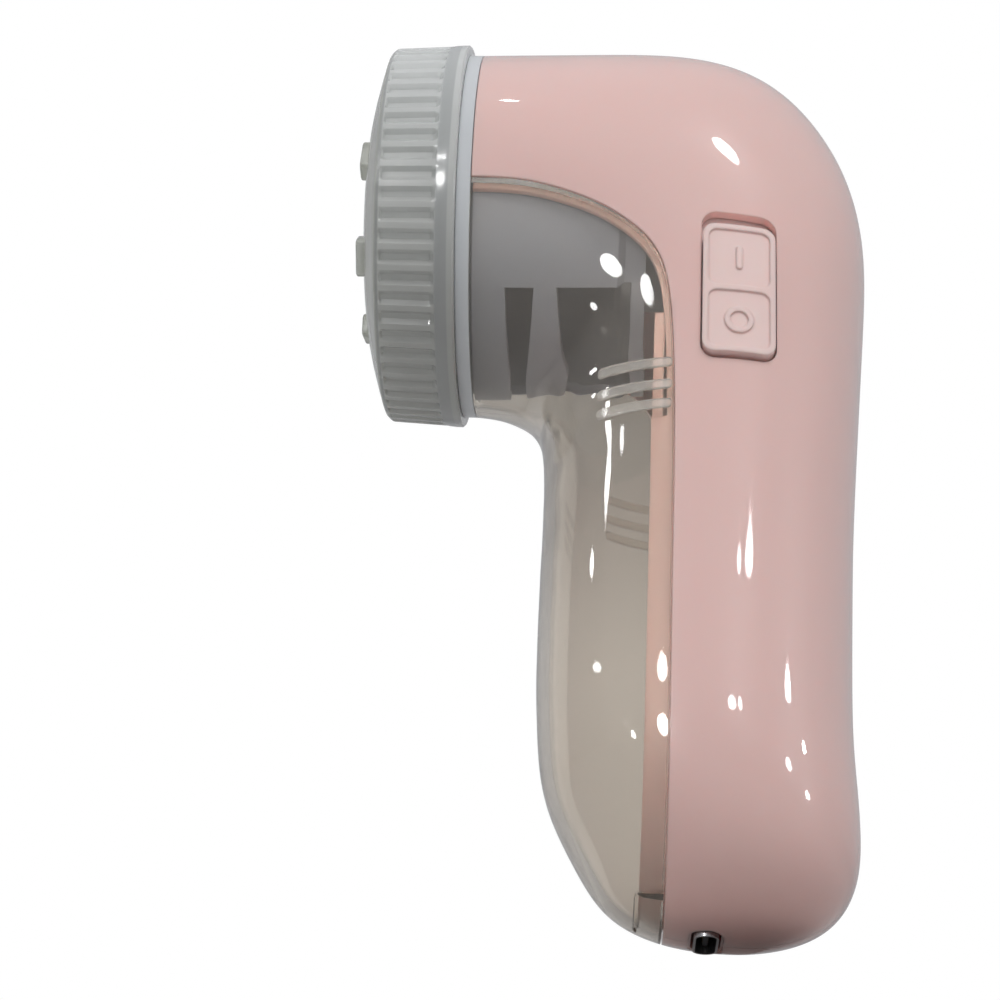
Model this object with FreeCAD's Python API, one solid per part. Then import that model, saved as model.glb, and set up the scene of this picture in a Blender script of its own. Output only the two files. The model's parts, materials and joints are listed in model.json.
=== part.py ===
import FreeCAD, Part
import math
import os
from FreeCAD import Vector

# Fabric shaver, all lengths in millimetres.
# Design axes: the blade axis is the line y = 0, z = 0 along X. The shaving head looks
# toward -X (front), the grip hangs down along -Z, and the left half is on the -Y side.
# On export everything moves so that the origin is at the bottom middle of the bounding box.
os.makedirs("parts", exist_ok=True)

export_shift = Vector(0.45, 0, 108.40)
origin = Vector(0, 0, 0)
x_axis = Vector(1, 0, 0)
y_axis = Vector(0, 1, 0)
sides = (-1, 1)

# ------------------------------------------------------- shared dimensions
wall = 1.6                           # housing and lint bin
lip_gap, lip_t, lip_reach = 0.15, 0.8, 3.0   # lip that sits inside the bin edge
seam_gap = 0.20                      # open line between bin and housing
neck_x = -20.40                      # front end of the body
cavity_x = -23.0                     # cavity cutters start here, in front of the neck
split_gap = 0.02                     # each housing half stops this far from y = 0
drum_r, drum_bore, drum_rear_x = 24.60, 23.30, 4.50
shaft_r, shaft_x0, shaft_x1 = 1.00, -14.0, 32.5
motor_w, motor_h, motor_x0, motor_xm, motor_x1 = 20.10, 15.10, 8.00, 27.00, 31.60
motor_screw_y = 8.0                  # one screw on each side of the shaft
cell_r, cell_x, cell_z0, cell_z1 = 7.10, 24.00, -96.0, -46.0
pcb_x0, pcb_x1 = 11.10, 12.70
pcb_half, pcb_tail_half, pcb_fit = 14.0, 8.5, 0.06
knob_x0, knob_x1, knob_z0, knob_z1 = 12.20, 22.25, -33.30, -13.50
knob_travel, knob_proud = 2.0, 1.0
port_x, port_w, port_h, port_z0, port_len = 14.35, 8.94, 3.26, -108.35, 7.35
screw_places = [(20.0, 18.6), (28.5, -38.2), (24.5, -101.3)]   # x, z of housing screws
screw_seat_y = 6.0                   # underside of the housing screw heads

# Body sections: (x, z) of the front or under point, (x, z) of the top or back point,
# half width in y, superellipse power.
body_sections = [
    ((-20.4, -27.3), (-20.4, 27.3), 27.3, 2.0), ((-17.4, -27.75), (-16.0, 27.5), 27.3, 2.0),
    ((-14.6, -28.9), (-9.0, 27.9), 27.2, 2.0), ((-12.5, -30.4), (0.0, 28.35), 26.9, 2.02),
    ((-11.1, -32.4), (9.2, 28.55), 26.5, 2.05), ((-10.2, -34.7), (18.0, 27.2), 26.0, 2.08),
    ((-9.75, -37.0), (25.25, 23.15), 25.5, 2.1), ((-9.5, -39.2), (30.45, 16.9), 25.0, 2.12),
    ((-9.35, -41.5), (34.05, 9.9), 24.6, 2.15), ((-9.25, -44.0), (36.2, 2.2), 24.2, 2.17),
    ((-9.22, -46.6), (36.95, -6.0), 23.9, 2.2), ((-9.2, -49.5), (36.65, -15.0), 23.6, 2.2),
    ((-9.2, -52.7), (36.0, -25.0), 23.4, 2.2), ((-9.25, -56.3), (35.35, -35.0), 23.2, 2.2),
    ((-9.25, -60.3), (34.75, -44.5), 23.0, 2.2), ((-9.25, -64.7), (34.3, -53.5), 22.85, 2.2),
    ((-9.2, -69.2), (34.05, -62.0), 22.75, 2.2), ((-9.1, -73.8), (33.85, -70.5), 22.65, 2.2),
    ((-8.85, -78.2), (33.75, -77.2), 22.6, 2.2), ((-8.5, -82.6), (33.85, -82.6), 22.5, 2.2),
    ((-7.85, -87.0), (34.15, -87.0), 22.2, 2.2), ((-6.6, -91.0), (34.4, -91.0), 21.6, 2.2),
    ((-5.0, -94.4), (34.5, -94.6), 20.7, 2.2), ((-3.4, -97.4), (34.4, -97.8), 19.5, 2.2),
    ((-1.9, -100.0), (33.9, -100.6), 18.0, 2.2), ((-0.3, -102.35), (32.8, -103.05), 16.1, 2.2),
    ((1.5, -104.2), (31.3, -105.0), 14.0, 2.2), ((3.6, -105.6), (29.7, -106.4), 11.9, 2.2),
    ((6.1, -106.75), (27.9, -107.4), 9.9, 2.2), ((9.1, -107.65), (26.1, -108.05), 8.0, 2.2),
    ((12.0, -108.3), (24.4, -108.4), 6.2, 2.2)]

# Side view line, (x, z), where the lint bin meets the housing.
seam_line = [
    (-26.0, -6.9), (-20.4, -6.9), (-16.35, -7.0), (-11.4, -7.55), (-6.6, -8.75),
    (-2.35, -10.35), (1.6, -12.7), (4.15, -14.9), (5.85, -17.2), (7.15, -20.6),
    (8.05, -26.2), (8.50, -33.4), (8.70, -40.4), (8.80, -48.0), (8.80, -60.0),
    (8.80, -75.0), (8.80, -90.0), (8.80, -104.0), (8.80, -116.0)]


# ----------------------------------------------------------------- helpers
def box(x0, x1, y0, y1, z0, z1):
    """Box between two limits on each axis, given in either order."""
    corner = Vector(min(x0, x1), min(y0, y1), min(z0, z1))
    return Part.makeBox(abs(x1 - x0), abs(y1 - y0), abs(z1 - z0), corner)


def round_edges(block, direction, radius):
    """Fillet the edges that run along direction."""
    edges = [e for e in block.Edges
             if e.Vertexes[1].Point.sub(e.Vertexes[0].Point).cross(direction).Length < 1e-6]
    return block.makeFillet(radius, edges)


def round_box(x0, x1, y0, y1, z0, z1, radius):
    """Box with its edges along Y rounded."""
    return round_edges(box(x0, x1, y0, y1, z0, z1), y_axis, radius)


def rod_x(radius, x0, x1, y=0.0, z=0.0):
    return Part.makeCylinder(radius, x1 - x0, Vector(x0, y, z), x_axis)


def rod_y(radius, y0, y1, x, z):
    return Part.makeCylinder(radius, y1 - y0, Vector(x, y0, z), y_axis)


def rod_z(radius, z0, z1, x, y=0.0):
    return Part.makeCylinder(radius, z1 - z0, Vector(x, y, z0), Vector(0, 0, 1))


def tube_x(outer_r, bore_r, x0, x1):
    return rod_x(outer_r, x0, x1).cut(rod_x(bore_r, x0 - 1, x1 + 1))


def fuse(shapes):
    return shapes[0].multiFuse(shapes[1:])


def stepped_rod(steps, y=0.0, z=0.0):
    """Rods in line along X, each step being (radius, x0, x1)."""
    return fuse([rod_x(radius, x0, x1, y, z) for radius, x0, x1 in steps])


def closed_polygon(points):
    return Part.makePolygon(points + [points[0]])


def circle_wire(centre, normal, radius):
    return Part.Wire([Part.Circle(centre, normal, radius).toShape()])


def revolve_x(profile):
    """Turn a closed (x, radius) profile about the blade axis."""
    face = Part.Face(closed_polygon([Vector(x, radius, 0) for x, radius in profile]))
    return face.revolve(origin, x_axis, 360)


def turn(shape, degrees):
    """Turn a shape in place about the blade axis."""
    shape.rotate(origin, x_axis, degrees)
    return shape


def main_solid(shape):
    return sorted(shape.Solids, key=lambda solid: -solid.Volume)[0]


def normal_of(start, end):
    """Unit normal, in the side view, of the line from start to end."""
    dx, dz = end[0] - start[0], end[1] - start[1]
    length = math.hypot(dx, dz)
    return (-dz / length, dx / length)


def neighbours(index, count):
    return max(index - 1, 0), min(index + 1, count - 1)


def power_of(value, power):
    """Signed superellipse power of a sine or cosine."""
    return math.copysign(abs(value) ** (2.0 / power), value) if abs(value) > 1e-9 else 0.0


def body_skin(inset, front=neck_x, count=28):
    """Closed solid of the body surface moved inward by inset, with a flat front."""
    last = len(body_sections) - 1
    mids = [((p[0] + q[0]) / 2, (p[1] + q[1]) / 2) for p, q, _, _ in body_sections]
    curves, stations = [], []
    for k, (under, top, half_width, power) in enumerate(body_sections):
        before, after = neighbours(k, last + 1)
        moved = []
        for end, point, opposite in ((0, under, top), (1, top, under)):
            nx, nz = normal_of(body_sections[before][end], body_sections[after][end])
            if nx * (opposite[0] - point[0]) + nz * (opposite[1] - point[1]) < 0:
                nx, nz = -nx, -nz
            if k == last:             # the foot is nearly flat, so it moves mostly upward
                length = math.hypot(nx * 0.3, 1.0)
                nx, nz = nx * 0.3 / length, 1.0 / length
            moved.append((point[0] + inset * nx, point[1] + inset * nz))
        run = math.hypot(mids[after][0] - mids[before][0], mids[after][1] - mids[before][1])
        widening = body_sections[after][2] - body_sections[before][2]
        half_y = half_width - inset * run / math.hypot(run, widening)
        (under_x, under_z), (top_x, top_z) = moved
        if k == 0:
            under_x = top_x = front
        mid_x, mid_z = (under_x + top_x) / 2, (under_z + top_z) / 2
        half_x, half_z = (top_x - under_x) / 2, (top_z - under_z) / 2
        points = []
        for i in range(count):
            angle = 2 * math.pi * i / count
            across = power_of(math.cos(angle), power)
            sideways = power_of(math.sin(angle), power)
            points.append(Vector(mid_x + half_x * across, half_y * sideways,
                                 mid_z + half_z * across))
        curve = Part.BSplineCurve()
        curve.interpolate(Points=points, PeriodicFlag=True,
                          Parameters=[float(i) / count for i in range(count + 1)])
        curves.append(curve)
        stations.append(Vector(mid_x, 0, mid_z))
    # every column of section poles is interpolated along the body
    along = [0.0]
    for a, b in zip(stations[:-1], stations[1:]):
        along.append(along[-1] + max(b.sub(a).Length, 0.4))
    along = [value / along[-1] for value in along]
    columns = []
    for poles in zip(*[curve.getPoles() for curve in curves]):
        column = Part.BSplineCurve()
        column.interpolate(Points=list(poles), Parameters=along)
        columns.append(column)
    loop, column = curves[0], columns[0]
    surface = Part.BSplineSurface()
    surface.buildFromPolesMultsKnots(
        [c.getPoles() for c in columns], loop.getMultiplicities(), column.getMultiplicities(),
        loop.getKnots(), column.getKnots(), True, False, loop.Degree, column.Degree)
    side = surface.toShape()
    ends = [Part.Face(Part.Wire([e])) for e in side.Edges if e.isClosed()]
    shell = Part.makeShell([side] + ends)
    shell.sewShape()
    solid = Part.makeSolid(shell)
    if solid.Volume < 0:
        solid.reverse()
    return solid


def seam_block(offset, housing_side=True):
    """Block on one side of the seam line, moved by offset toward the housing."""
    half_y = 45
    points = []
    for k, (x, z) in enumerate(seam_line):
        before, after = neighbours(k, len(seam_line))
        nx, nz = normal_of(seam_line[before], seam_line[after])
        points.append(Vector(x + offset * nx, -half_y, z + offset * nz))
    curve = Part.BSplineCurve()
    curve.interpolate(Points=points)
    first, last = points[0], points[-1]
    if housing_side:
        corners = [(70, last.z), (70, 60), (first.x, 60)]
    else:
        corners = [(first.x, last.z)]
    path = [last] + [Vector(x, -half_y, z) for x, z in corners] + [first]
    edges = [curve.toShape()] + [Part.makeLine(a, b) for a, b in zip(path[:-1], path[1:])]
    return Part.Face(Part.Wire(edges)).extrude(Vector(0, 2 * half_y, 0))


def lead(points, radius=0.55):
    """Insulated lead: straight runs with ball corners."""
    runs = []
    for a, b in zip(points[:-1], points[1:]):
        run = Vector(*b).sub(Vector(*a))
        runs.append(Part.makeCylinder(radius, run.Length, Vector(*a), run))
    return fuse(runs + [Part.makeSphere(radius, Vector(*p)) for p in points[1:-1]])


def port_slot(grow_y, grow_x, z0, z1):
    """Upright block with the round-ended outline of the port, widened by the two amounts."""
    radius = (port_h + grow_x) / 2.0
    half = (port_w + grow_y) / 2.0 - radius
    return fuse([box(port_x - radius, port_x + radius, -half, half, z0, z1),
                 rod_z(radius, z0, z1, port_x, -half), rod_z(radius, z0, z1, port_x, half)])


def motor_form(grow, x0, x1):
    """Round motor outline with flat top and bottom, grown all round."""
    half_h = motor_h / 2 + grow
    flats = box(x0 - 1, x1 + 1, -30, 30, -half_h, half_h)
    return rod_x(motor_w / 2 + grow, x0, x1).common(flats)


# ----------------------------------------------------------- body surfaces
inner = body_skin(wall, cavity_x)
lip_out = body_skin(wall + lip_gap, neck_x + 0.2)
lip_in = body_skin(wall + lip_gap + lip_t, cavity_x)
body_wall = body_skin(0.0).cut(inner)

# ----------------------------------------------------------------- housing
# Limits of 40 and more in these cutters only reach past the body.
lip_end = 4.0                        # lip and bridge end this far past the seam
partition_x0, partition_x1 = 5.9, 7.3
rib_half = 0.75
screw_bore, head_bore = 1.10, 2.60


def housing_shell():
    """Wall behind the seam, with the bin lip and the partition behind the bin."""
    shell = body_wall.common(seam_block(0.0))
    lip = lip_out.cut(lip_in).common(seam_block(-lip_reach)).cut(seam_block(lip_end))
    # the lip is short around the neck, where the blade chamber fills the space
    lip = fuse([lip.common(box(-60, 60, -60, 60, -130, -26.0)), lip.common(seam_block(-0.9))])
    # strip that ties the lip to the wall
    bridge = inner.cut(lip_in).common(seam_block(0.6)).cut(seam_block(lip_end))
    bridge = bridge.common(box(neck_x + 0.2, 60, -45, 45, -120, 50))
    partition = lip_in.common(box(partition_x0, partition_x1, -40, 40, -105.4, -24.9))
    partition = partition.fuse(
        lip_out.common(box(partition_x0, partition_x1, -40, 40, -104.2, -27.0)))
    return fuse([shell, bridge, lip, partition])


def housing_ribs():
    ribs = []
    # level ribs in the grip, cleared for the cell, the board and a middle channel
    for mid in (-54.0, -88.0):
        low, high = mid - 2, mid + 2
        rib = inner.common(box(7.0, 40, -40, 40, mid - rib_half, mid + rib_half))
        rib = rib.cut(rod_z(cell_r + 0.12, -120, 0, cell_x))
        rib = rib.cut(box(7.31, 16.6, -12.4, 12.4, low, high))
        edge = pcb_half + pcb_fit
        rib = rib.cut(box(pcb_x0 - pcb_fit, pcb_x1 + pcb_fit, -edge, edge, low, high))
        ribs.append(rib.cut(box(16.0, 32.5, -5.0, 5.0, low, high)))
    # upright ribs around the motor
    motor_gap = motor_form(0.1, 0, 40)
    for mid in (13.5, 24.5):
        rib = inner.common(box(mid - rib_half, mid + rib_half, -40, 40, -7.4, 12.0))
        ribs.append(rib.cut(motor_gap))
    # half rings over the blade chamber
    for x0, x1 in ((-16.2, -15.0), (-1.2, 0.0)):
        ring = inner.common(box(x0, x1, -40, 40, 2.0, 40))
        ribs.append(ring.cut(rod_x(drum_r + 0.05, -30, 10)))
    return ribs


def screw_boss(x, z):
    boss = inner.common(rod_y(3.7, -40, 40, x, z))
    boss = boss.cut(rod_y(screw_bore, -9.0, 30.0, x, z))
    return boss.cut(rod_y(head_bore, screw_seat_y, 40.0, x, z))


def housing_body():
    bosses = [screw_boss(x, z) for x, z in screw_places]
    body = fuse([housing_shell()] + housing_ribs() + bosses)
    for x, z in screw_places:
        body = body.cut(fuse([rod_y(screw_bore, -9.0, 6.5, x, z),
                              rod_y(head_bore, screw_seat_y, 40.0, x, z)]))
    # window for the power button, then room behind the wall for its slide plate
    body = body.cut(round_box(knob_x0 - 0.2, knob_x1 + 0.2, -40, -15,
                              knob_z0 - 0.6, knob_z1 + knob_travel + 0.5, 2.2))
    body = body.cut(inner.common(round_box(knob_x0 - 1.9, knob_x1 + 1.7, -30, -16.0,
                                           knob_z0 - 3.0, knob_z1 + knob_travel + 3.3, 1.0)))
    # stepped port opening and a slot for the foot of the circuit board
    body = body.cut(port_slot(0.24, 0.24, -112, -100))
    body = body.cut(port_slot(1.3, 0.95, -112, -107.75))
    return body.cut(box(pcb_x0 - pcb_fit, pcb_x1 + pcb_fit, -8.6, 8.6, -106.0, -100))


def housing_half(body, side):
    """Half on the -Y side (side -1) or the +Y side (side 1)."""
    return main_solid(body.common(box(-60, 60, side * split_gap, side * 60, -130, 60)))


def housing_screw(x, z):
    """Cross-slotted screw along Y."""
    head_y, slot_y, slot_long, slot_half = 8.0, 7.2, 1.6, 0.25
    screw = fuse([rod_y(2.3, screw_seat_y, head_y, x, z), rod_y(1.05, -7.5, 6.1, x, z)])
    for dx, dz in ((slot_long, slot_half), (slot_half, slot_long)):
        screw = screw.cut(box(x - dx, x + dx, slot_y, 9, z - dz, z + dz))
    return screw


# ---------------------------------------------------------------- lint bin
grip_levels = (-34.7, -38.0, -40.9)
grip_half, grip_proud = 0.55, 0.55


def lint_bin():
    """Bin wall with three grip ridges on each side and a thin notch at its foot."""
    shell = body_wall.common(seam_block(-seam_gap, False))
    bars = [round_box(-1.6, 8.3, s * 15, s * 30, z - grip_half, z + grip_half, 0.45)
            for z in grip_levels for s in sides]
    ridges = body_skin(-grip_proud).common(fuse(bars)).cut(body_skin(0.5, cavity_x))
    shell = shell.fuse(ridges.common(seam_block(-seam_gap, False)))
    return main_solid(shell.cut(round_box(5.6, 12.0, -30, -9.0, -104.95, -104.35, 0.25)))


# ----------------------------------------------------------- blade chamber
collar_r, collar_bore = 23.60, 22.30
drum_step = 0.7                      # the drum narrows by this toward its rear
# lint outlets, x limits: front and rear at y = +-outlet_y, front and rear at y = 0
outlets = [(-15.4, -11.3, -14.6, -12.0), (-8.0, 2.6, -6.4, 2.4)]
outlet_y = 16.0


def blade_chamber():
    rear_r = drum_r - drum_step
    drum = revolve_x([
        (-20.2, drum_bore), (-20.2, drum_r), (0.6, drum_r), (1.6, rear_r),
        (drum_rear_x, rear_r), (drum_rear_x, 0.0), (3.0, 0.0), (3.0, drum_bore - drum_step),
        (1.2, drum_bore - drum_step), (0.2, drum_bore)])
    collar = tube_x(collar_r, collar_bore, -28.0, -20.0)
    step = tube_x(drum_r, collar_bore, -20.2, -18.8)
    boss = rod_x(11.0, drum_rear_x - 0.1, motor_x0 - 0.05)
    boss = boss.cut(rod_x(9.6, drum_rear_x + 1.0, motor_x0 - 1.5))
    chamber = fuse([drum, collar, step, boss]).cut(rod_x(3.4, -30, 20))
    for s in sides:
        y = s * motor_screw_y
        chamber = chamber.cut(rod_x(1.05, 0, 12, y)).cut(rod_x(2.1, 2.0, 3.9, y))
    # outlets through the lower wall
    cutters = []
    for end_x0, end_x1, mid_x0, mid_x1 in outlets:
        outline = [(end_x0, -outlet_y), (end_x1, -outlet_y), (mid_x1, 0),
                   (end_x1, outlet_y), (end_x0, outlet_y), (mid_x0, 0)]
        face = Part.Face(closed_polygon([Vector(x, y, -40) for x, y in outline]))
        cutters.append(face.extrude(Vector(0, 0, 28)))
    return main_solid(chamber.cut(fuse(cutters)))


# ------------------------------------------------------ guard ring and foil
ring_r, ring_body_r, ring_bore = 27.30, 25.60, 23.66
foil_x, foil_t, foil_r = -31.0, 0.30, 24.60
# circles of foil holes: circle radius, number of holes, hole radius
hole_rows = [(0.0, 1, 1.0), (3.4, 6, 1.0), (6.6, 12, 1.0), (9.7, 18, 1.0),
             (12.7, 24, 0.95), (15.6, 30, 0.95), (18.4, 36, 0.90), (21.0, 42, 0.85)]


def guard_ring():
    return revolve_x([
        (-31.4, 22.9), (-31.4, 25.2), (-31.0, ring_body_r), (-22.45, ring_body_r),
        (-22.45, ring_r), (-20.50, ring_r), (-20.50, ring_bore), (-29.30, ring_bore),
        (-29.30, foil_r + 0.05), (-31.05, foil_r + 0.05), (-31.05, 22.9)])


def guard_foil():
    """Plate with rings of round holes and a short skirt."""
    wires = [circle_wire(Vector(foil_x, 0, 0), x_axis, foil_r)]
    for row_r, count, hole_r in hole_rows:
        stagger = 0.5 * (count % 12 == 6)
        for i in range(count):
            angle = 2 * math.pi * (i + stagger) / count
            centre = Vector(foil_x, row_r * math.cos(angle), row_r * math.sin(angle))
            wires.append(circle_wire(centre, x_axis, hole_r))
    plate = Part.Face(wires, "Part::FaceMakerBullseye").extrude(Vector(foil_t, 0, 0))
    return plate.fuse(tube_x(foil_r, foil_r - foil_t, foil_x, -29.45))


# ---------------------------------------------------------- protective cap
cap_rear_x, cap_rear_r, cap_dome_x = -22.50, 28.80, -37.20
rib_count, rib_depth = 60, 0.75
rib_ends = [(-25.0, 28.62), (-33.25, 28.28)]    # x, crest radius
tab_count, tab_x, tab_radius, tab_wide, tab_deep = 6, -37.85, 14.7, 5.6, 3.4


def cap_ribs():
    """Band of ribs round the cap, tapering toward the front."""
    pitch = 2 * math.pi / rib_count
    wires = []
    for x, crest in rib_ends:
        root = crest - rib_depth
        points = []
        for k in range(rib_count):
            for part, radius in ((-0.29, root), (-0.17, crest), (0.17, crest), (0.29, root)):
                angle = (k + part) * pitch
                points.append(Vector(x, radius * math.cos(angle), radius * math.sin(angle)))
        wires.append(closed_polygon(points))
    return Part.makeLoft(wires, True, True).cut(rod_x(27.35, -40, -20))


def protective_cap():
    cap = revolve_x([
        (cap_rear_x, 27.2), (cap_rear_x, cap_rear_r), (-25.2, 28.65), (-25.5, 27.95),
        (-33.05, 27.75), (-33.95, 27.2), (-34.55, 26.0), (-36.1, 20.0), (-36.85, 14.0),
        (-37.12, 7.0), (cap_dome_x, 0.0), (-35.70, 0.0), (-35.62, 7.0), (-35.35, 14.0),
        (-34.6, 20.0), (-33.3, 25.0), (-32.6, 26.35), (-26.0, 26.9)])
    stop_r = ring_body_r + 0.08
    stop = revolve_x([(-25.8, stop_r), (-24.6, stop_r), (-24.4, 27.3), (-26.0, 27.3)])
    for k in range(tab_count):
        tab = box(tab_x, -35.9, -tab_wide / 2, tab_wide / 2, -tab_deep / 2, tab_deep / 2)
        tab = round_edges(tab, x_axis, 0.6)
        tab.translate(Vector(0, 0, tab_radius))
        # the first tab is 15.2 degrees above the -Y direction
        cap = cap.fuse(turn(tab, 90.0 - 15.2 + 360.0 / tab_count * k))
    return main_solid(fuse([cap, stop, cap_ribs()]))


# ----------------------------------------------------------- blades and drive
holder_x, holder_shoulder_x = -27.6, -22.0   # front face, front end of the wide bore
blade_count, blade_r, blade_tip_x, blade_half = 3, 20.8, -30.45, 0.15
blade_turns = [120 * k for k in range(blade_count)]
blade_screw_r = 12                   # circle of the blade screws, about the blade axis
spring_r, spring_wire_r = 3.45, 0.3


def blade(degrees):
    """Tilted blade with a flat foot on the holder."""
    bar = box(blade_tip_x, holder_x, -blade_half, blade_half, 6.0, blade_r)
    bar.rotate(Vector(holder_x, 0, 13), Vector(0, 0, 1), 20)
    foot = box(holder_x - 0.3, holder_x, -blade_half, 3.6, 7.5, 18.5)
    return turn(bar.fuse(foot).common(rod_x(21.1, blade_tip_x, -20)), degrees)


def blade_screw(degrees):
    angle = math.radians(90 + 17 + degrees)
    return stepped_rod([(1.6, -29.2, -27.9), (0.8, -28.1, -26.6)],
                       blade_screw_r * math.cos(angle), blade_screw_r * math.sin(angle))


def blade_holder(blades, screws):
    """Disc and hollow hub, with two pins in the bore and seats for blades and screws."""
    hub = revolve_x([
        (holder_x, 3.2), (holder_x, 21.2), (-26.2, 21.2), (-25.4, 8.6), (-18.0, 7.4),
        (-8.0, 7.0), (-8.0, 4.2), (holder_shoulder_x, 4.2), (holder_shoulder_x, 3.2)])
    pins = [box(-21.9, -18.5, -0.8, 0.8, s * 2.62, s * 4.4) for s in (1, -1)]
    holder = fuse([hub, rod_x(4.5, holder_x, holder_shoulder_x)] + pins)
    for tool in blades + screws:
        holder = holder.cut(tool)
    return main_solid(holder)


def coupler_spring():
    helix = Part.makeHelix(1.6, 8.0, spring_r)
    section = circle_wire(Vector(spring_r, 0, 0), y_axis, spring_wire_r)
    spring = Part.Wire(helix).makePipeShell([section], True, True)
    spring.rotate(origin, y_axis, 90)
    spring.translate(Vector(-11.5, 0, 0))
    return spring


# ------------------------------------------------------------------- motor
core_x0, core_x1 = 13.0, 22.4
coil_deep = 1.3
bearing_r = 2.0
brush_z = 5.0                        # brush terminals, above and below the shaft


def armature_core():
    """Three-pole core with T-shaped slots between the poles."""
    core = rod_x(6.0, core_x0, core_x1)
    for k in range(3):
        slot = box(12, 24, -0.7, 0.7, 3.0, 8.0).fuse(box(12, 24, -3.2, 3.2, 3.0, 4.9))
        core = core.cut(turn(slot, 60 + 120 * k))
    return main_solid(core.cut(rod_x(shaft_r, 0, 40)))


def armature_coils():
    """Coil ends in front of and behind each pole."""
    return Part.makeCompound([
        turn(fuse([box(core_x0 - coil_deep, core_x0, -2.7, 2.7, 1.7, 4.8),
                   box(core_x1, core_x1 + coil_deep, -2.7, 2.7, 1.7, 4.8)]), 120 * k)
        for k in range(3)])


def motor_can():
    can_wall = 0.8
    can = motor_form(0, motor_x0, motor_xm)
    can = can.cut(motor_form(-can_wall, motor_x0 + can_wall, 30))
    can = can.fuse(rod_x(3.0, 6.8, 8.1)).cut(rod_x(bearing_r, 0, 12))
    for s in sides:
        can = can.cut(rod_x(1.0, 6, 10, s * motor_screw_y))
    return can


def motor_magnets():
    arc = tube_x(9.2, 6.5, 11.6, 23.8)
    return Part.makeCompound([
        main_solid(arc.common(box(10, 30, s * 3.6, s * 12, -6.7, 6.7))) for s in sides])


def motor_end_cap():
    cap = motor_form(0, motor_xm, motor_x1).cut(motor_form(-1.2, 26, 30.0))
    cap = cap.fuse(rod_x(3.2, 29.9, 32.6))
    cap = cap.cut(rod_x(bearing_r, 29, 32.4)).cut(rod_x(1.3, 29, 36))
    for s in sides:
        cap = cap.cut(box(29.5, 33.0, -1.1, 1.1, s * brush_z - 0.3, s * brush_z + 0.3))
    return main_solid(cap)


def motor_brushes():
    """Brush blocks, each with a thin terminal running out of the back."""
    return Part.makeCompound([
        box(26.9, 28.2, -1.0, 1.0, s * 2.25, s * 5.6).fuse(
            box(28.1, 33.2, -1.0, 1.0, s * (brush_z - 0.15), s * (brush_z + 0.15)))
        for s in sides])


def motor_leads(end_cap, brushes):
    """Leads from the brush terminals to the circuit board."""
    leads = [
        lead([(32.5, -1.75, -5.0), (32.3, -2.2, -8.6), (29.0, -2.5, -11.2),
              (15.0, -2.5, -13.4), (13.4, -2.5, -15.4)]),
        lead([(32.5, 1.75, 5.0), (32.2, 5.5, 5.0), (29.6, 11.5, 3.0), (29.6, 11.5, -7.8),
              (28.0, 8.0, -11.4), (15.0, 4.5, -13.6), (13.4, 4.5, -15.6)])]
    return Part.makeCompound([main_solid(q.cut(end_cap).cut(brushes)) for q in leads])


# ------------------------------------------------- circuit board and port
pcb_holes = [(9.5, -40.0), (-9.5, -75.0)]       # y, z
port_wall, tongue_half = 0.3, 0.35
# low y and low z corner of each capacitor
capacitor_places = [(-7.0, -97.0), (-10.5, -92.0), (-7.5, -92.0), (9.0, -30.0), (5.6, -30.0)]


def on_board(height, y0, y1, z0, z1):
    """Block standing on the back face of the board."""
    return box(pcb_x1, pcb_x1 + height, y0, y1, z0, z1)


def circuit_board():
    board = fuse([box(pcb_x0, pcb_x1, -pcb_half, pcb_half, -96.0, -12.6),
                  box(pcb_x0, pcb_x1, -pcb_tail_half, pcb_tail_half, -105.6, -95.9)])
    for y, z in pcb_holes:
        board = board.cut(rod_x(1.15, 8, 15, y, z))
    return board


def board_screws():
    steps = [(2.0, pcb_x1, pcb_x1 + 1.2), (1.05, 7.4, pcb_x1 + 0.1)]
    return Part.makeCompound([stepped_rod(steps, y, z) for y, z in pcb_holes])


def port_shell():
    hollow = port_slot(-2 * port_wall, -2 * port_wall,
                       port_z0 - 1, port_z0 + port_len - port_wall)
    return port_slot(0, 0, port_z0, port_z0 + port_len).cut(hollow)


def port_tongue():
    return fuse([port_slot(-0.66, -0.66, port_z0 + 5.0, port_z0 + port_len - 0.33),
                 box(port_x - tongue_half, port_x + tongue_half, -3.35, 3.35,
                     port_z0 + 0.9, port_z0 + 5.2)])


def port_contacts():
    """Six contacts on each face of the tongue."""
    return Part.makeCompound([
        box(port_x + s * tongue_half, port_x + s * (tongue_half + 0.08),
            y - 0.14, y + 0.14, port_z0 + 1.2, port_z0 + 4.9)
        for y in [-2.5 + i for i in range(6)] for s in sides])


def charge_chip():
    """Chip with four legs on each side."""
    legs = [on_board(0.3, s * 2.55, s * 3.6, -98.3 + i, -97.9 + i)
            for s in sides for i in range(4)]
    return Part.makeCompound([on_board(1.5, -2.5, 2.5, -98.5, -94.3)] + legs)


def charge_light():
    return fuse([on_board(0.8, -8.4, -5.2, -103.6, -102.0),
                 box(pcb_x1 + 0.7, pcb_x1 + 1.3, -7.8, -5.8, -103.3, -102.3)])


# ------------------------------------------------ switch and power button
switch_z = -24.0
lever_x0, lever_x1 = pcb_x1 + 1.2, pcb_x1 + 3.2


def switch_body():
    return on_board(4.4, -13.6, -9.2, switch_z - 5.0, switch_z + 5.0).cut(
        box(pcb_x1 + 1.0, pcb_x1 + 3.4, -14.0, -10.4, switch_z - 3.4, switch_z + 3.4))


def switch_lever():
    """Lever that reaches out toward -Y."""
    return fuse([box(lever_x0, lever_x1, -13.3, -10.5, switch_z - 3.2, switch_z + 1.0),
                 box(lever_x0, lever_x1, -17.0, -13.0, switch_z - 2.1, switch_z - 0.1)])


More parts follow.
